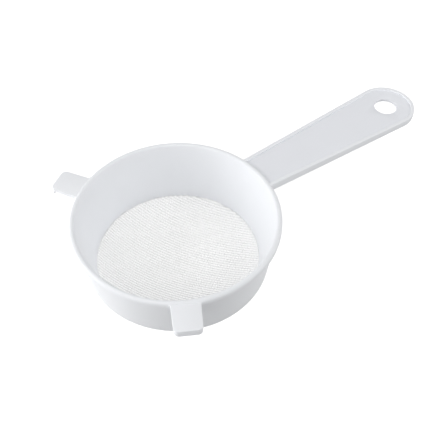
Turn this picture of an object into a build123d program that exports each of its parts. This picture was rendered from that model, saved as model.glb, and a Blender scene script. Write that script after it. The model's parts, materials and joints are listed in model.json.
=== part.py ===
from build123d import *
import math
import os

# A hand sieve: a round, slightly tapered bowl with a woven mesh in its base, a flat handle with a
# hanging hole, and two hooked lugs that hold it on the edge of a mixing bowl or jug.
# Millimetres. The origin is on the bowl's axis, on the plane that the base stands on. +X runs along
# the handle and +Z is up.

# Bowl
RIM_RADIUS = 60.0          # outside of the lip
BOWL_HEIGHT = 35.0         # resting plane to the top of the lip
LIP_HEIGHT = 4.0
LIP_WIDTH = 3.0            # flat top of the lip, seen from above
LIP_OVERHANG = 2.0         # how far the lip stands out past the wall below it
BASE_RADIUS = 53.3         # outside of the wall at the resting plane
BASE_RING_HEIGHT = 5.0     # the thick foot that the mesh is moulded into
LIP_OUTER_FILLET = 1.3
LIP_SMALL_FILLET = 0.7
FOOT_FILLET = 0.6

# Mesh
MESH_OPEN_RADIUS = 47.6    # the mesh that can be seen inside the bowl
MESH_EDGE_RADIUS = 50.0    # the mesh's edge, buried in the base ring
MESH_BOTTOM = 0.5          # clearance under the mesh
MESH_THICKNESS = 0.6

# Handle: its top plane starts just below the lip's top edge and falls gently towards the tip
HANDLE_TOP = 34.6          # at the lip
HANDLE_FALL_DEG = 2.5
HANDLE_HALF_WIDTH = 13.3   # at the lip
HANDLE_LENGTH = 120.7      # from the lip to the tip, along the handle
END_RADIUS = 18.1          # the round end
RAIL_WIDTH = 2.3           # the raised edge all round the handle
SKIRT_AT_BOWL = 5.0        # height of the raised edge's outer side at the bowl
SKIRT_AT_TIP = 4.0
PANEL_RECESS = 0.9         # the panel's top below the rails' top
PANEL_THICKNESS = 2.0
RAIL_FILLET = 0.6
EYE_LENGTH = 40.0          # the last stretch of the panel, with the hanging hole in it
HANG_HOLE_RADIUS = 7.0     # its centre is the centre of the round end

# Rest lugs: flat tongues with a turned-down end, 120 degrees from the handle and from each other
LUG_AZIMUTHS_DEG = {"right_rest_lug": 120.0, "left_rest_lug": 240.0}
LUG_REACH = 16.5           # past the lip
LUG_ROOT_WIDTH = 16.6
LUG_TIP_WIDTH = 15.4
LUG_TOP = 34.3
LUG_PLATE = 2.2
LUG_HOOK_HEIGHT = 4.3      # height of the turned-down end
LUG_HOOK_THICKNESS = 2.2
LUG_CORNER_RADIUS = 3.0
LUG_FILLET = 0.6

# Pieces that meet the bowl are made this much too long and trimmed by its outline
ROOT_OVERRUN = 12.0

LIP_BOTTOM = BOWL_HEIGHT - LIP_HEIGHT
INNER_TOP_RADIUS = RIM_RADIUS - LIP_WIDTH
WALL_TOP_RADIUS = RIM_RADIUS - LIP_OVERHANG
MESH_TOP = MESH_BOTTOM + MESH_THICKNESS
END_CENTRE = HANDLE_LENGTH - END_RADIUS

# The handle's straight edges open out at this angle, which makes them tangent to the round end
HANDLE_FLARE = (
    math.asin(END_RADIUS / math.hypot(HANDLE_HALF_WIDTH, END_CENTRE))
    - math.atan2(HANDLE_HALF_WIDTH, END_CENTRE)
)


def inner_radius(z):
    """Radius of the bowl's smooth inner cone at height z."""
    share = (z - MESH_TOP) / (BOWL_HEIGHT - MESH_TOP)
    return MESH_OPEN_RADIUS + (INNER_TOP_RADIUS - MESH_OPEN_RADIUS) * share


def outer_radius(z):
    """Radius of the outside of the wall at height z."""
    return BASE_RADIUS + (WALL_TOP_RADIUS - BASE_RADIUS) * z / LIP_BOTTOM


def turned(points):
    """A ring: the closed outline through (radius, height) points, turned about the bowl's axis."""
    outline = make_face(Polyline(*[(r, 0, z) for r, z in points], close=True))
    return revolve(outline, axis=Axis.Z, revolution_arc=360)


def round_edges(solid, radius, height, size):
    """Round the circular edges of a ring that have this radius and height."""
    edges = [
        e
        for e in solid.edges().filter_by(GeomType.CIRCLE)
        if abs(e.radius - radius) < 0.01 and abs(e.arc_center.Z - height) < 0.01
    ]
    return fillet(edges, size)


def rim_lip():
    """The rounded lip that stiffens the top of the bowl and stands out past the wall."""
    ring = turned(
        [
            (inner_radius(LIP_BOTTOM), LIP_BOTTOM),
            (RIM_RADIUS, LIP_BOTTOM),
            (RIM_RADIUS, BOWL_HEIGHT),
            (INNER_TOP_RADIUS, BOWL_HEIGHT),
        ]
    )
    ring = round_edges(ring, RIM_RADIUS, BOWL_HEIGHT, LIP_OUTER_FILLET)
    ring = round_edges(ring, RIM_RADIUS, LIP_BOTTOM, LIP_SMALL_FILLET)
    return round_edges(ring, INNER_TOP_RADIUS, BOWL_HEIGHT, LIP_SMALL_FILLET)


def bowl_wall():
    """The tapered wall between the lip and the base ring."""
    return turned(
        [
            (inner_radius(BASE_RING_HEIGHT), BASE_RING_HEIGHT),
            (outer_radius(BASE_RING_HEIGHT), BASE_RING_HEIGHT),
            (WALL_TOP_RADIUS, LIP_BOTTOM),
            (inner_radius(LIP_BOTTOM), LIP_BOTTOM),
        ]
    )


def base_ring():
    """The foot of the bowl, with the groove that grips the edge of the mesh."""
    ring = turned(
        [
            (MESH_OPEN_RADIUS, 0),
            (BASE_RADIUS, 0),
            (outer_radius(BASE_RING_HEIGHT), BASE_RING_HEIGHT),
            (inner_radius(BASE_RING_HEIGHT), BASE_RING_HEIGHT),
            (MESH_OPEN_RADIUS, MESH_TOP),
        ]
    )
    return round_edges(ring, BASE_RADIUS, 0, FOOT_FILLET) - sieve_mesh()


def sieve_mesh():
    """The woven mesh, as a thin disc of the cloth's full thickness."""
    upwards = (Align.CENTER, Align.CENTER, Align.MIN)
    return Pos(0, 0, MESH_BOTTOM) * Cylinder(MESH_EDGE_RADIUS, MESH_THICKNESS, align=upwards)


def bowl_envelope():
    """The bowl as one solid lump, which trims the roots of the handle and the lugs."""
    return turned(
        [
            (0, 0),
            (BASE_RADIUS, 0),
            (WALL_TOP_RADIUS, LIP_BOTTOM),
            (RIM_RADIUS, LIP_BOTTOM),
            (RIM_RADIUS, BOWL_HEIGHT + LIP_HEIGHT),
            (0, BOWL_HEIGHT + LIP_HEIGHT),
        ]
    )


def handle_outline(inset):
    """The handle's plan, drawn in by inset: two straight edges that open out into a round end."""
    radius = END_RADIUS - inset
    start = -ROOT_OVERRUN
    half = HANDLE_HALF_WIDTH + start * math.tan(HANDLE_FLARE) - inset / math.cos(HANDLE_FLARE)
    touch = (END_CENTRE - radius * math.sin(HANDLE_FLARE), radius * math.cos(HANDLE_FLARE))
    edges = [
        Line((start, -half), (touch[0], -touch[1])),
        ThreePointArc((touch[0], -touch[1]), (END_CENTRE + radius, 0), touch),
        Line(touch, (start, half)),
        Line((start, half), (start, -half)),
    ]
    return make_face(edges)


def along(solid, low, high):
    """The stretch of a handle piece between two distances from the lip."""
    size = 4 * END_RADIUS
    box = Box(high - low, size, size, align=(Align.MIN, Align.CENTER, Align.CENTER))
    return solid & (Pos(low, 0, 0) * box)


def rail_loop():
    """The raised edge and its skirt, all round the handle, with a skirt that gets lower to the tip."""
    band = handle_outline(0) - handle_outline(RAIL_WIDTH)
    loop = extrude(band, amount=-SKIRT_AT_BOWL)
    top = loop.edges().group_by(Axis.Z)[-1].filter_by(lambda e: e.center().X > 0)
    loop = fillet(top, RAIL_FILLET)
    drop = math.degrees(math.atan2(SKIRT_AT_BOWL - SKIRT_AT_TIP, HANDLE_LENGTH))
    under = (Align.CENTER, Align.CENTER, Align.MAX)
    below = Box(3 * HANDLE_LENGTH, 4 * END_RADIUS, 2 * SKIRT_AT_BOWL, align=under)
    return loop - Pos(0, 0, -SKIRT_AT_BOWL) * Rot(0, -drop, 0) * below


def panel_web():
    """The recessed panel between the rails, with the hanging hole through it."""
    web = Pos(0, 0, -PANEL_RECESS) * extrude(handle_outline(RAIL_WIDTH), amount=-PANEL_THICKNESS)
    return web - Pos(END_CENTRE, 0, 0) * Cylinder(HANG_HOLE_RADIUS, 4 * SKIRT_AT_BOWL)


def side_of(solid, sign):
    """The half of a handle piece on one side of its centre line."""
    size = 3 * HANDLE_LENGTH
    align_y = Align.MIN if sign > 0 else Align.MAX
    return solid & Box(size, size, size, align=(Align.CENTER, align_y, Align.CENTER))


def handle_pieces():
    """The panel, the eye and the three stretches of rail, placed at the lip and trimmed by the bowl."""
    loop = rail_loop()
    web = panel_web()
    round_start = END_CENTRE - END_RADIUS * math.sin(HANDLE_FLARE)
    eye_start = HANDLE_LENGTH - EYE_LENGTH
    straight = along(loop, -ROOT_OVERRUN, round_start)
    pieces = {
        "handle_panel": along(web, -ROOT_OVERRUN, eye_start),
        "hanging_eye": along(web, eye_start, HANDLE_LENGTH),
        "left_handle_rail": side_of(straight, -1),
        "right_handle_rail": side_of(straight, 1),
        "handle_end_rail": along(loop, round_start, HANDLE_LENGTH),
    }
    place = Pos(RIM_RADIUS, 0, HANDLE_TOP) * Rot(0, HANDLE_FALL_DEG, 0)
    bowl = bowl_envelope()
    return {name: place * piece - bowl for name, piece in pieces.items()}


def rest_lug(azimuth):
    """A flat tongue from the lip with a turned-down end, at an azimuth in degrees."""
    root = RIM_RADIUS - ROOT_OVERRUN / 2
    tip = RIM_RADIUS + LUG_REACH
    plan = make_face(
        Polyline(
            (root, -LUG_ROOT_WIDTH / 2),
            (tip, -LUG_TIP_WIDTH / 2),
            (tip, LUG_TIP_WIDTH / 2),
            (root, LUG_ROOT_WIDTH / 2),
            close=True,
        )
    )
    plan = fillet(plan.vertices().group_by(Axis.X)[-1], LUG_CORNER_RADIUS)
    tongue = Pos(0, 0, LUG_TOP) * extrude(plan, amount=-LUG_HOOK_HEIGHT)
    rounded = tongue.edges().group_by(Axis.Z)[-1].filter_by(lambda e: e.center().X > root + 1)
    tongue = fillet(rounded, LUG_FILLET)
    pocket_height = LUG_HOOK_HEIGHT - LUG_PLATE
    pocket = Box(
        tip - LUG_HOOK_THICKNESS - root,
        2 * LUG_ROOT_WIDTH,
        pocket_height,
        align=(Align.MIN, Align.CENTER, Align.MIN),
    )
    tongue -= Pos(root, 0, LUG_TOP - LUG_HOOK_HEIGHT) * pocket
    return Rot(0, 0, azimuth) * tongue - bowl_envelope()


def all_pieces():
    """Every node of the sieve, by name."""
    pieces = {
        "rim_lip": rim_lip(),
        "bowl_wall": bowl_wall(),
        "base_ring": base_ring(),
        "sieve_mesh": sieve_mesh(),
    }
    pieces.update(handle_pieces())
    for name, azimuth in LUG_AZIMUTHS_DEG.items():
        pieces[name] = rest_lug(azimuth)
    return pieces


os.makedirs("parts", exist_ok=True)
for name, piece in all_pieces().items():
    export_step(piece, f"parts/{name}.step")
    print(name, "volume", round(piece.volume, 1), "mm3")
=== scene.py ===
import json
import math

import bmesh
import bpy
from mathutils import Matrix, Vector


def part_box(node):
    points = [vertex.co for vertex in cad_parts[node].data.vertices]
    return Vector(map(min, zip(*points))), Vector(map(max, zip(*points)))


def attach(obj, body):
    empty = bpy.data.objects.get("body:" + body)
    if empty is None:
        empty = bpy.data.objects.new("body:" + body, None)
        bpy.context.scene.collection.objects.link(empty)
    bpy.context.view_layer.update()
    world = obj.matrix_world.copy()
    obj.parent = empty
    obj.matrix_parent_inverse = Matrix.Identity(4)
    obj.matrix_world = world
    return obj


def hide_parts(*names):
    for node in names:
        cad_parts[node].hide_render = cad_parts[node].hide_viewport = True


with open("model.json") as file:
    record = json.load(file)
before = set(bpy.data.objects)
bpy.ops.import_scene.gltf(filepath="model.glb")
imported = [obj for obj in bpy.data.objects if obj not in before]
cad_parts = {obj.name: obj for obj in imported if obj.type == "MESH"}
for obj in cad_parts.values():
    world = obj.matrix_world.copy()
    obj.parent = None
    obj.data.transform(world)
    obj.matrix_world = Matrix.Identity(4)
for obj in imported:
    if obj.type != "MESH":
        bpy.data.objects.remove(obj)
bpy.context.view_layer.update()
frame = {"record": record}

# Camera: it stands in front of the sieve and a little to its left, and looks down into the bowl,
# with the handle going away to the upper right.
VIEW_AZIMUTH = math.radians(-36.16)
VIEW_ELEVATION = math.radians(49.15)
VIEW_ROLL = math.radians(-0.63)
VIEW_DISTANCE = 0.5514
VIEW_AIM = Vector((0.0363, 0.0113, 0.0))
CAMERA_LENS = 75

bpy.ops.object.camera_add()
camera = bpy.context.object
camera.name = "camera"
camera.data.lens = CAMERA_LENS
camera.matrix_world = (
    Matrix.Translation(VIEW_AIM)
    @ Matrix.Rotation(VIEW_AZIMUTH, 4, "Z")
    @ Matrix.Rotation(math.pi / 2 - VIEW_ELEVATION, 4, "X")
    @ Matrix.Rotation(VIEW_ROLL, 4, "Z")
    @ Matrix.Translation((0, 0, VIEW_DISTANCE))
)
bpy.context.scene.camera = camera


# Rim lip: the rounded bead that stiffens the top of the bowl and stands out past its wall.
# It is moulded in one with the wall, in white satin polypropylene.
ROUND_SIDES = 256
LIP_TOP_WIDTH = 0.003
LIP_OUTER_ROUND = 0.0016
LIP_INNER_ROUND = 0.0011
LIP_LOWER_ROUND = 0.0003
TINY = 1e-5
WELD = 1e-6
LAST_WELD = 1e-7

lip_low, lip_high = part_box("rim_lip")
mesh_low, mesh_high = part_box("sieve_mesh")
LIP_RADIUS = lip_high.x
MESH_OPEN_RADIUS = 0.0476


def start_piece(name):
    """A new, empty mesh at the origin, open for editing, with nothing else selected."""
    bpy.ops.object.select_all(action="DESELECT")
    bpy.ops.object.add(type="MESH", enter_editmode=True)
    bpy.context.object.name = name


def pick(kind, test):
    """Selects the verts, edges or faces of the mesh being edited that pass a test."""
    bpy.ops.mesh.select_mode(type={"verts": "VERT", "edges": "EDGE", "faces": "FACE"}[kind])
    bpy.ops.mesh.select_all(action="DESELECT")
    mesh = bpy.context.object.data
    shape = bmesh.from_edit_mesh(mesh)
    for item in getattr(shape, kind):
        item.select_set(bool(test(item)))
    bmesh.update_edit_mesh(mesh)


def on_circle(radius, height):
    """A test for the edges of a circle about the bowl's axis."""
    return lambda item: all(
        abs(v.co.z - height) < TINY and abs(v.co.xy.length - radius) < TINY for v in item.verts
    )


def inner_radius(height):
    """The bowl's smooth inner cone, which runs from the mesh to the lip's top edge."""
    share = (height - mesh_high.z) / (lip_high.z - mesh_high.z)
    return MESH_OPEN_RADIUS + (LIP_RADIUS - LIP_TOP_WIDTH - MESH_OPEN_RADIUS) * share


def add_turned(corners):
    """Adds a closed round moulding: a circle drawn on from corner to corner of its section."""
    radius, height = corners[0]
    bpy.ops.mesh.primitive_circle_add(
        vertices=ROUND_SIDES, radius=radius, location=(0, 0, height)
    )
    for next_radius, next_height in corners[1:] + corners[:1]:
        rise = (0, 0, next_height - height)
        bpy.ops.mesh.extrude_edges_move(TRANSFORM_OT_translate={"value": rise})
        grow = next_radius / radius
        bpy.ops.transform.resize(value=(grow, grow, 1), center_override=(0, 0, next_height))
        radius, height = next_radius, next_height
    bpy.ops.mesh.select_all(action="SELECT")
    bpy.ops.mesh.remove_doubles(threshold=WELD)


def round_circle(radius, height, size, segments):
    """Rounds one circular edge."""
    pick("edges", on_circle(radius, height))
    bpy.ops.mesh.bevel(offset=size, segments=segments)


def finish_piece(node, material, smooth_degrees=35):
    """Leaves edit mode with the faces turned outward, and lets the piece stand for its CAD node."""
    bpy.ops.mesh.select_all(action="SELECT")
    bpy.ops.mesh.remove_doubles(threshold=LAST_WELD)
    bpy.ops.mesh.normals_make_consistent(inside=False)
    bpy.ops.object.mode_set(mode="OBJECT")
    piece = bpy.context.object
    bpy.ops.object.shade_smooth_by_angle(angle=math.radians(smooth_degrees))
    piece.data.materials.append(material)
    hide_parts(node)
    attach(piece, "root")
    return piece


PLASTIC_IOR = 1.49
CLOUDS_PER_METRE = 28
CLOUD_DETAIL = 3
CLOUD_START = 0.35
CLOUD_END = 0.65
CLOUD_DIMMING = 0.985
GRAIN_DETAIL = 2
ROUGH_SWING = 0.05


def plastic(name, colour, grain, height, rough):
    """White plastic: faint clouds in its colour, and a fine grain of this size and height."""
    material = bpy.data.materials.new(name)
    material.use_nodes = True
    nodes, links = material.node_tree.nodes, material.node_tree.links
    shader = nodes["Principled BSDF"]
    shader.inputs["IOR"].default_value = PLASTIC_IOR
    place = nodes.new("ShaderNodeTexCoord")
    cloud = nodes.new("ShaderNodeTexNoise")
    cloud.inputs["Scale"].default_value = CLOUDS_PER_METRE
    cloud.inputs["Detail"].default_value = CLOUD_DETAIL
    links.new(place.outputs["Object"], cloud.inputs["Vector"])
    tint = nodes.new("ShaderNodeValToRGB")
    dim, bright = tint.color_ramp.elements
    dim.position = CLOUD_START
    dim.color = (*[part * CLOUD_DIMMING for part in colour], 1)
    bright.position = CLOUD_END
    bright.color = (*colour, 1)
    links.new(cloud.outputs["Fac"], tint.inputs["Fac"])
    links.new(tint.outputs["Color"], shader.inputs["Base Color"])
    speck = nodes.new("ShaderNodeTexNoise")
    speck.inputs["Scale"].default_value = 1 / grain
    speck.inputs["Detail"].default_value = GRAIN_DETAIL
    links.new(place.outputs["Object"], speck.inputs["Vector"])
    sheen = nodes.new("ShaderNodeMapRange")
    sheen.inputs["To Min"].default_value = rough - ROUGH_SWING
    sheen.inputs["To Max"].default_value = rough + ROUGH_SWING
    links.new(speck.outputs["Fac"], sheen.inputs["Value"])
    links.new(sheen.outputs["Result"], shader.inputs["Roughness"])
    bump = nodes.new("ShaderNodeBump")
    bump.inputs["Distance"].default_value = height
    links.new(speck.outputs["Fac"], bump.inputs["Height"])
    links.new(bump.outputs["Normal"], shader.inputs["Normal"])
    return material


PLASTIC_COLOUR = (0.92, 0.935, 0.962)
MOULD_GRAIN = 0.0008
MOULD_GRAIN_HEIGHT = 0.00001
SATIN_ROUGH = 0.5
moulded = plastic("moulded_plastic", PLASTIC_COLOUR, MOULD_GRAIN, MOULD_GRAIN_HEIGHT, SATIN_ROUGH)

start_piece("rim_lip_moulding")
add_turned(
    [
        (inner_radius(lip_low.z), lip_low.z),
        (LIP_RADIUS, lip_low.z),
        (LIP_RADIUS, lip_high.z),
        (inner_radius(lip_high.z), lip_high.z),
    ]
)
round_circle(LIP_RADIUS, lip_high.z, LIP_OUTER_ROUND, segments=6)
round_circle(LIP_RADIUS, lip_low.z, LIP_LOWER_ROUND, segments=3)
round_circle(inner_radius(lip_high.z), lip_high.z, LIP_INNER_ROUND, segments=5)
finish_piece("rim_lip", moulded)


# Bowl wall: the tapered side of the bowl between the lip and the base ring.
# It is smooth inside and out and opens slightly upwards, so that it leaves its mould.
wall_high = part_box("bowl_wall")[1]
ring_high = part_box("base_ring")[1]
WALL_TOP_RADIUS = wall_high.x
RING_TOP_RADIUS = ring_high.x

start_piece("bowl_wall_moulding")
add_turned(
    [
        (inner_radius(ring_high.z), ring_high.z),
        (RING_TOP_RADIUS, ring_high.z),
        (WALL_TOP_RADIUS, lip_low.z),
        (inner_radius(lip_low.z), lip_low.z),
    ]
)
finish_piece("bowl_wall", moulded)


# Base ring: the thick foot of the bowl, moulded round the edge of the mesh.
# The cloth's turned-up edge prints through on its outside as a faint weave.
FOOT_ROUND = 0.0006
BASE_RADIUS = 0.0533
PRINT_PITCH = 0.0013
PRINT_HEIGHT = 0.00005


def print_weave(material):
    """Presses a weave into a round surface: waves that follow the angle and the height."""
    nodes, links = material.node_tree.nodes, material.node_tree.links
    place = nodes.new("ShaderNodeTexCoord")
    around = nodes.new("ShaderNodeTexGradient")
    around.gradient_type = "RADIAL"
    links.new(place.outputs["Object"], around.inputs["Vector"])
    split = nodes.new("ShaderNodeSeparateXYZ")
    links.new(place.outputs["Object"], split.inputs["Vector"])
    turns = round(2 * math.pi * BASE_RADIUS / PRINT_PITCH)
    waves = []
    for source, per_unit in ((around.outputs["Fac"], turns), (split.outputs["Z"], 1 / PRINT_PITCH)):
        phase = nodes.new("ShaderNodeMath")
        phase.operation = "MULTIPLY"
        phase.inputs[1].default_value = 2 * math.pi * per_unit
        links.new(source, phase.inputs[0])
        wave = nodes.new("ShaderNodeMath")
        wave.operation = "SINE"
        links.new(phase.outputs["Value"], wave.inputs[0])
        waves.append(wave)
    weave = nodes.new("ShaderNodeMath")
    weave.operation = "MULTIPLY"
    for number, wave in enumerate(waves):
        links.new(wave.outputs["Value"], weave.inputs[number])
    bump = nodes.new("ShaderNodeBump")
    bump.inputs["Distance"].default_value = PRINT_HEIGHT
    links.new(weave.outputs["Value"], bump.inputs["Height"])
    links.new(bump.outputs["Normal"], nodes["Bump"].inputs["Normal"])


start_piece("base_ring_moulding")
add_turned(
    [
        (MESH_OPEN_RADIUS, 0),
        (BASE_RADIUS, 0),
        (RING_TOP_RADIUS, ring_high.z),
        (inner_radius(ring_high.z), ring_high.z),
        (MESH_OPEN_RADIUS, mesh_high.z),
    ]
)
round_circle(BASE_RADIUS, 0, FOOT_ROUND, segments=4)
printed = plastic("printed_plastic", PLASTIC_COLOUR, MOULD_GRAIN, MOULD_GRAIN_HEIGHT, SATIN_ROUGH)
print_weave(printed)
finish_piece("base_ring", printed)


# Sieve mesh: a disc of white nylon cloth, its edge buried in the base ring. It is coarser than such
# cloth really is: a flat weft, a narrow warp, a bow and uneven spacing give it the curved lines that
# a finer weave seems to have from far off. Where threads cross they are sunk into each other.
MESH_PITCH = 0.0017
THREAD_THICKNESS = 0.00046
WEFT_WIDTH = 0.0008
WARP_WIDTH = 0.00016
THREAD_LIFT = 0.00007
THREAD_SIDES = 6
THREAD_END_RADIUS = 0.0494
THREAD_ANGLE = math.radians(-62)
WEFT_BOW = 4.1
WEFT_SPREAD = 2.1
THREADS = 68
CROSSING_SPAN = 0.1
NYLON_COLOUR = (0.95, 0.95, 0.945)
NYLON_GRAIN = 0.0004
NYLON_GRAIN_HEIGHT = 0.000004
NYLON_ROUGH = 0.45
mesh_level = (mesh_low.z + mesh_high.z) / 2


def crossing(x):
    """The number of the crossing at this distance along a thread, or None between crossings."""
    place = x / MESH_PITCH - 0.5
    return round(place) if abs(place - round(place)) < CROSSING_SPAN else None


def runs_along_x(edge):
    """A test for the edges that run along X, as a new thread or the handle does."""
    return abs(edge.verts[0].co.x - edge.verts[1].co.x) > TINY


def thread_line(y):
    """The middle line of the thread that a corner at this distance belongs to."""
    return (math.floor(y / MESH_PITCH) + 0.5) * MESH_PITCH


def bowed(x, y):
    """Where the bow and the uneven spacing, both per metre, take a point of the straight weave."""
    return x, y + WEFT_BOW * x * x + WEFT_SPREAD * y * y


def trim_threads(thread, centre):
    """Cuts the threads of one direction to the disc and closes their ends."""
    bpy.ops.object.select_all(action="DESELECT")
    thread.select_set(True)
    bpy.context.view_layer.objects.active = thread
    bpy.ops.object.mode_set(mode="EDIT")
    pick("verts", lambda v: math.hypot(*bowed(*centre(v.co))) > THREAD_END_RADIUS)
    bpy.ops.mesh.delete(type="VERT")
    bpy.ops.mesh.select_all(action="SELECT")
    bpy.ops.mesh.fill_holes(sides=THREAD_SIDES)
    bpy.ops.object.mode_set(mode="OBJECT")


def weave_threads(name, width):
    """Makes one direction of the straight weave: a thread along X, its neighbour, then the rest."""
    first = (0.5 - THREADS / 2) * MESH_PITCH
    start_piece(name)
    bpy.ops.mesh.primitive_cylinder_add(
        vertices=THREAD_SIDES,
        radius=THREAD_THICKNESS / 2,
        depth=THREADS * MESH_PITCH,
        end_fill_type="NOTHING",
        location=(0, first, 0),
        rotation=(0, math.pi / 2, 0),
    )
    bpy.ops.transform.resize(
        value=(1, width / THREAD_THICKNESS, 1), center_override=(0, first, 0)
    )
    for cuts in (THREADS - 1, 1):
        pick("edges", runs_along_x)
        bpy.ops.mesh.subdivide(number_cuts=cuts)
    for odd, lift in ((0, THREAD_LIFT), (1, -THREAD_LIFT)):
        pick("verts", lambda v: crossing(v.co.x) is not None and crossing(v.co.x) % 2 == odd)
        bpy.ops.transform.translate(value=(0, 0, lift))
    bpy.ops.mesh.select_all(action="SELECT")
    bpy.ops.mesh.duplicate_move(TRANSFORM_OT_translate={"value": (0, MESH_PITCH, 0)})
    bpy.ops.transform.resize(value=(1, 1, -1), center_override=(0, 0, 0))
    bpy.ops.object.mode_set(mode="OBJECT")
    threads = bpy.context.object
    repeat = threads.modifiers.new("rows", "ARRAY")
    repeat.use_relative_offset = False
    repeat.use_constant_offset = True
    repeat.constant_offset_displace = (0, 2 * MESH_PITCH, 0)
    repeat.count = THREADS // 2
    bpy.ops.object.modifier_apply(modifier=repeat.name)
    return threads


# The warp is the same set turned over about a diagonal, so it dips a little where the weft rises.
warp = weave_threads("warp_threads", WARP_WIDTH)
warp.matrix_world = Matrix.Rotation(math.pi, 4, (1, 1, 0))
bpy.ops.object.transform_apply()
trim_threads(warp, lambda place: (thread_line(place.x), place.y))
weft = weave_threads("sieve_mesh_cloth", WEFT_WIDTH)
trim_threads(weft, lambda place: (place.x, thread_line(place.y)))
warp.select_set(True)
bpy.ops.object.join()
for corner in weft.data.vertices:
    corner.co.x, corner.co.y = bowed(corner.co.x, corner.co.y)
weft.rotation_euler.z = THREAD_ANGLE
weft.location.z = mesh_level
bpy.ops.object.transform_apply()
bpy.ops.object.mode_set(mode="EDIT")
nylon = plastic("mesh_nylon", NYLON_COLOUR, NYLON_GRAIN, NYLON_GRAIN_HEIGHT, NYLON_ROUGH)
cloth = finish_piece("sieve_mesh", nylon, smooth_degrees=100)


# Handle rails: the raised edge that runs down both sides of the handle and round its end.
# They are the handle's stiff part, deeper at the bowl, with a rounded top.
END_CENTRE_FROM_LIP = 0.1026
END_RADIUS = 0.0181
RAIL_WIDTH = 0.0023
RAIL_DEPTH = 0.0054
RAIL_ROUND = 0.0006
RAIL_TOP = 0.0019
SKIRT_AT_BOWL = 0.005
SKIRT_AT_TIP = 0.004
SKIRT_RISE = (SKIRT_AT_BOWL - SKIRT_AT_TIP) / (END_CENTRE_FROM_LIP + END_RADIUS)
HALF_WIDTH_AT_LIP = 0.0133
ROOT_RADIUS = 0.0573
ROOT_RUN = 0.006
END_STEPS = 96

hang_hole = next(m for m in frame["record"]["mounts"] if m["name"] == "hang_hole")
hole_axis = Vector(hang_hole["axis"])
fall = math.atan2(hole_axis.x, hole_axis.z)
handle_frame = Matrix.Translation(hang_hole["pos_m"]) @ Matrix.Rotation(fall, 4, "Y")
flare = math.asin(END_RADIUS / math.hypot(HALF_WIDTH_AT_LIP, END_CENTRE_FROM_LIP)) - math.atan2(
    HALF_WIDTH_AT_LIP, END_CENTRE_FROM_LIP
)


def add_rail_section(side):
    """Adds the rail's cross-section beside the centre of the round end, its top corners rounded."""
    middle = (0, side * (END_RADIUS - RAIL_WIDTH / 2), RAIL_TOP - RAIL_DEPTH / 2)
    bpy.ops.mesh.primitive_plane_add(size=1, location=middle, rotation=(0, math.pi / 2, 0))
    bpy.ops.transform.resize(value=(1, RAIL_WIDTH, RAIL_DEPTH), center_override=middle)
    pick("verts", lambda v: v.co.z > RAIL_TOP - TINY)
    bpy.ops.mesh.bevel(offset=RAIL_ROUND, segments=4, affect="VERTICES")
    bpy.ops.mesh.select_all(action="SELECT")


def cut(place, normal):
    """Cuts away what lies behind a plane and closes the cut."""
    bpy.ops.mesh.select_all(action="SELECT")
    bpy.ops.mesh.bisect(plane_co=place, plane_no=normal, use_fill=True, clear_inner=True)


def place_piece(matrix):
    """Moves the mesh being edited by a matrix, through its object, and goes on editing."""
    bpy.ops.object.mode_set(mode="OBJECT")
    bpy.context.object.matrix_world = matrix
    bpy.ops.object.transform_apply()
    bpy.ops.object.mode_set(mode="EDIT")


def taper_skirt():
    """Cuts the rail's lower edge so that it rises from the bowl to the tip."""
    cut((-END_CENTRE_FROM_LIP, 0, RAIL_TOP - SKIRT_AT_BOWL), (-SKIRT_RISE, 0, 1))


for name, side in (("left_handle_rail", -1), ("right_handle_rail", 1)):
    start_piece(name + "_moulding")
    add_rail_section(side)
    run = END_CENTRE_FROM_LIP / math.cos(flare) + ROOT_RUN
    bpy.ops.mesh.extrude_region_move(TRANSFORM_OT_translate={"value": (-run, 0, 0)})
    place_piece(Matrix.Rotation(side * flare, 4, "Z"))
    taper_skirt()
    place_piece(handle_frame)
    azimuth = side * math.atan2(HALF_WIDTH_AT_LIP - RAIL_WIDTH / 2, ROOT_RADIUS)
    outward = Vector((math.cos(azimuth), math.sin(azimuth), 0))
    cut(outward * ROOT_RADIUS, outward)
    finish_piece(name, moulded)

start_piece("handle_end_rail_moulding")
add_rail_section(1)
bpy.ops.mesh.spin(steps=END_STEPS, angle=math.pi + 2 * flare, center=(0, 0, 0), axis=(0, 0, 1))
place_piece(Matrix.Rotation(flare, 4, "Z"))
taper_skirt()
place_piece(handle_frame)
finish_piece("handle_end_rail", moulded)


# Handle panel: the flat web between the rails, a little below their tops, with a fine stipple on its
# face that gives the thumb a grip. A narrow groove runs between it and each rail. Its colour is a
# little darker than the rest of the moulding, which is painted shade.
PANEL_HALF_THICKNESS = 0.001
PANEL_BURIED = 0.0004
PANEL_ROOT_RADIUS = 0.05735
EYE_START = -0.0219
PANEL_GROOVE = 0.0008
# Painted shade: the panel and the eye are the same plastic as the rest of the moulding, but their
# colour is made a little darker.
SHADED_STIPPLED_COLOUR = (0.885, 0.90, 0.94)
STIPPLE = 0.0006
STIPPLE_HEIGHT = 0.00004
STIPPLE_ROUGH = 0.4

stipple_and_shade = plastic("stippled_plastic", SHADED_STIPPLED_COLOUR, STIPPLE, STIPPLE_HEIGHT, STIPPLE_ROUGH)


def panel_half_width(x):
    """Half the panel's width, its sides buried in the rails, at x from the round end's centre."""
    return (END_RADIUS - RAIL_WIDTH + PANEL_BURIED) / math.cos(flare) + x * math.tan(flare)


def add_web(start, end):
    """Adds a stretch of the web between two distances from the round end's centre."""
    bpy.ops.mesh.primitive_cube_add(size=1, location=((start + end) / 2, 0, 0))
    half = panel_half_width(start)
    bpy.ops.transform.resize(
        value=(end - start, 2 * half, 2 * PANEL_HALF_THICKNESS),
        center_override=((start + end) / 2, 0, 0),
    )
    pick("verts", lambda v: abs(v.co.x - end) < TINY)
    bpy.ops.transform.resize(
        value=(1, panel_half_width(end) / half, 1), center_override=(end, 0, 0)
    )


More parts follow.
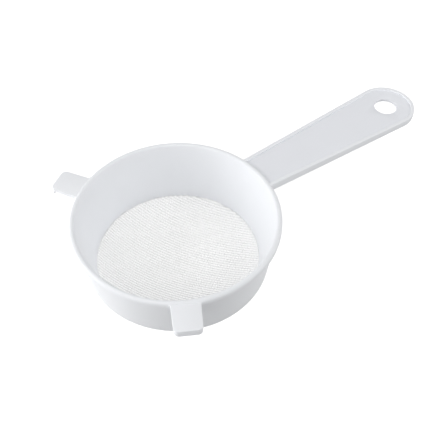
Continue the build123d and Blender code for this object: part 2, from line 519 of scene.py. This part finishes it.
start_piece("handle_panel_moulding")
add_web(-END_CENTRE_FROM_LIP - ROOT_RUN, EYE_START)
pick("edges", runs_along_x)
bpy.ops.mesh.bevel(offset=PANEL_GROOVE, segments=1)
place_piece(handle_frame)
cut((PANEL_ROOT_RADIUS, 0, 0), (1, 0, 0))
finish_piece("handle_panel", stipple_and_shade)


# Hanging eye: the rounded last stretch of the panel, with the hole that the sieve hangs by.
# It has the panel's stipple and painted shade, and the hole's edges are lightly broken, as a
# moulding's are.
HOLE_RADIUS = hang_hole["dims"]["r_mm"] / 1000
HOLE_BREAK = 0.00025
EYE_SIDES = 128


def apply_boolean(target, tool, operation):
    """Joins a tool to a piece, or cuts it away, and removes the tool."""
    bpy.context.view_layer.objects.active = target
    change = target.modifiers.new("change", "BOOLEAN")
    change.operation = operation
    change.object = tool
    change.solver = "EXACT"
    bpy.ops.object.modifier_apply(modifier=change.name)
    bpy.data.objects.remove(tool)


def round_tool(radius, depth):
    """A closed cylinder on the round end's centre."""
    bpy.ops.mesh.primitive_cylinder_add(vertices=EYE_SIDES, radius=radius, depth=depth)
    return bpy.context.object


start_piece("hanging_eye_moulding")
add_web(EYE_START, 0)
bpy.ops.object.mode_set(mode="OBJECT")
eye = bpy.context.object
apply_boolean(
    eye, round_tool(END_RADIUS - RAIL_WIDTH + PANEL_BURIED, 2 * PANEL_HALF_THICKNESS), "UNION"
)
apply_boolean(eye, round_tool(HOLE_RADIUS, 4 * PANEL_HALF_THICKNESS), "DIFFERENCE")
bpy.ops.object.select_all(action="DESELECT")
eye.select_set(True)
bpy.ops.object.mode_set(mode="EDIT")
for face_height in (-PANEL_HALF_THICKNESS, PANEL_HALF_THICKNESS):
    round_circle(HOLE_RADIUS, face_height, HOLE_BREAK, segments=2)
place_piece(handle_frame)
finish_piece("hanging_eye", stipple_and_shade)


# Rest lugs: two flat tongues on the lip, a third of the way round from the handle, whose ends
# turn down to hook over the edge of a mixing bowl. They are moulded with the lip.
LUG_AZIMUTHS = {"right_rest_lug": math.radians(120), "left_rest_lug": math.radians(240)}
LUG_ROOT_RADIUS = 0.0574
LUG_TIP_RADIUS = 0.0765
LUG_ROOT_WIDTH = 0.01642
LUG_TIP_WIDTH = 0.0154
LUG_TOP = 0.0343
LUG_PLATE = 0.0022
LUG_HOOK_HEIGHT = 0.0043
LUG_HOOK_THICKNESS = 0.0022
LUG_CORNER = 0.003
LUG_EDGE_ROUND = 0.0003
LUG_ROOT_FILLET = 0.0007
FILLET_STEPS = 4
POCKET_BOX = 0.1
SHARP_ANGLE = 1
RIM_AT_LUG_SIDE = math.sqrt(LIP_RADIUS**2 - (LUG_ROOT_WIDTH / 2) ** 2)


def widen_root(middle):
    """Flares the lug's sides out where they meet the rim, as a fillet in its corners does."""
    for step in range(FILLET_STEPS, -1, -1):
        gap = LUG_ROOT_FILLET * step / FILLET_STEPS
        spread = LUG_ROOT_FILLET - math.sqrt(LUG_ROOT_FILLET**2 - (LUG_ROOT_FILLET - gap) ** 2)
        place = RIM_AT_LUG_SIDE + gap
        bpy.ops.mesh.select_all(action="SELECT")
        bpy.ops.mesh.bisect(plane_co=(place, 0, 0), plane_no=(1, 0, 0))
        pick("verts", lambda v: abs(v.co.x - place) < TINY)
        bpy.ops.transform.resize(
            value=(1, 1 + 2 * spread / LUG_ROOT_WIDTH, 1), center_override=middle
        )
    pick("verts", lambda v: v.co.x < LUG_ROOT_RADIUS + TINY)
    bpy.ops.transform.resize(
        value=(1, 1 + 2 * LUG_ROOT_FILLET / LUG_ROOT_WIDTH, 1), center_override=middle
    )


for name, azimuth in LUG_AZIMUTHS.items():
    start_piece(name + "_moulding")
    middle = ((LUG_ROOT_RADIUS + LUG_TIP_RADIUS) / 2, 0, LUG_TOP - LUG_HOOK_HEIGHT / 2)
    bpy.ops.mesh.primitive_cube_add(size=1, location=middle)
    bpy.ops.transform.resize(
        value=(LUG_TIP_RADIUS - LUG_ROOT_RADIUS, LUG_ROOT_WIDTH, LUG_HOOK_HEIGHT),
        center_override=middle,
    )
    pick("verts", lambda v: v.co.x > LUG_TIP_RADIUS - TINY)
    bpy.ops.transform.resize(value=(1, LUG_TIP_WIDTH / LUG_ROOT_WIDTH, 1), center_override=middle)
    widen_root(middle)
    pick(
        "edges",
        lambda e: all(v.co.x > LUG_TIP_RADIUS - TINY for v in e.verts)
        and abs(e.verts[0].co.z - e.verts[1].co.z) > TINY,
    )
    bpy.ops.mesh.bevel(offset=LUG_CORNER, segments=8)
    bpy.ops.object.mode_set(mode="OBJECT")
    lug = bpy.context.object
    pocket_edge = LUG_TIP_RADIUS - LUG_HOOK_THICKNESS
    pocket_roof = LUG_TOP - LUG_PLATE
    bpy.ops.mesh.primitive_cube_add(
        size=POCKET_BOX,
        location=(pocket_edge - POCKET_BOX / 2, 0, pocket_roof - POCKET_BOX / 2),
    )
    apply_boolean(lug, bpy.context.object, "DIFFERENCE")
    bpy.ops.object.select_all(action="DESELECT")
    lug.select_set(True)
    bpy.ops.object.mode_set(mode="EDIT")
    pick(
        "edges",
        lambda e: all(v.co.z > LUG_TOP - TINY for v in e.verts)
        and max(v.co.x for v in e.verts) > LUG_ROOT_RADIUS + TINY
        and e.calc_face_angle(0) > SHARP_ANGLE,
    )
    bpy.ops.mesh.bevel(offset=LUG_EDGE_ROUND, segments=4)
    place_piece(Matrix.Rotation(azimuth, 4, "Z"))
    finish_piece(name, moulded)


# Studio: a plain white floor inside a white sphere, with soft lights from the left and the right.
# Floor and sphere glow, so that they show as plain white. Neither of them lights the sieve, except
# that the floor shows in its gloss: the even light of a pale room comes from the world instead.
FLOOR_SIZE = 2.2
FLOOR_GAP = 0.0001
FLOOR_COLOUR = (0.9, 0.9, 0.9, 1)
FLOOR_GLOW = 0.58
STAGE_ROUGH = 0.9
BACKDROP_GLOW = 1.0
SURROUND_GLOW = 0.37
LIGHT_SIZE = 0.8
WHITE = (1, 1, 1, 1)
BLACK = (0, 0, 0, 1)


def stage_material(name, colour, glow):
    """A matt material for the floor or the backdrop, with a glow of its own."""
    material = bpy.data.materials.new(name)
    material.use_nodes = True
    shader = material.node_tree.nodes["Principled BSDF"]
    shader.inputs["Base Color"].default_value = colour
    shader.inputs["Roughness"].default_value = STAGE_ROUGH
    shader.inputs["Emission Color"].default_value = WHITE
    shader.inputs["Emission Strength"].default_value = glow
    return material


bpy.ops.mesh.primitive_plane_add(size=FLOOR_SIZE, location=(0, 0, -FLOOR_GAP))
floor = bpy.context.object
floor.name = "floor"
floor.data.materials.append(stage_material("pale_floor", FLOOR_COLOUR, FLOOR_GLOW))
floor.visible_diffuse = False

bpy.ops.mesh.primitive_uv_sphere_add(radius=FLOOR_SIZE / 2, location=(0, 0, 0))
backdrop = bpy.context.object
backdrop.name = "backdrop"
backdrop.data.materials.append(stage_material("white_backdrop", BLACK, BACKDROP_GLOW))
backdrop.visible_diffuse = False
backdrop.visible_glossy = False
backdrop.visible_shadow = False

surround = bpy.data.worlds.new("surround")
surround.use_nodes = True
sky = surround.node_tree.nodes["Background"]
sky.inputs["Color"].default_value = WHITE
sky.inputs["Strength"].default_value = SURROUND_GLOW
bpy.context.scene.world = surround
bpy.context.scene.view_settings.view_transform = "Standard"


def soft_light(name, place, power):
    """A square studio light that faces the bowl."""
    bpy.ops.object.light_add(type="AREA", location=place)
    light = bpy.context.object
    light.name = name
    light.data.size = LIGHT_SIZE
    light.data.energy = power
    light.rotation_euler = (-Vector(place)).to_track_quat("-Z", "Y").to_euler()


soft_light("low_left", (-0.93, 0.70, 0.29), 8.6)
soft_light("front_left", (-0.92, -0.14, 0.76), 3.9)
soft_light("low_front_left", (-1.15, -0.17, 0.30), 0.9)
soft_light("right", (0.75, -0.56, 0.75), 5.6)
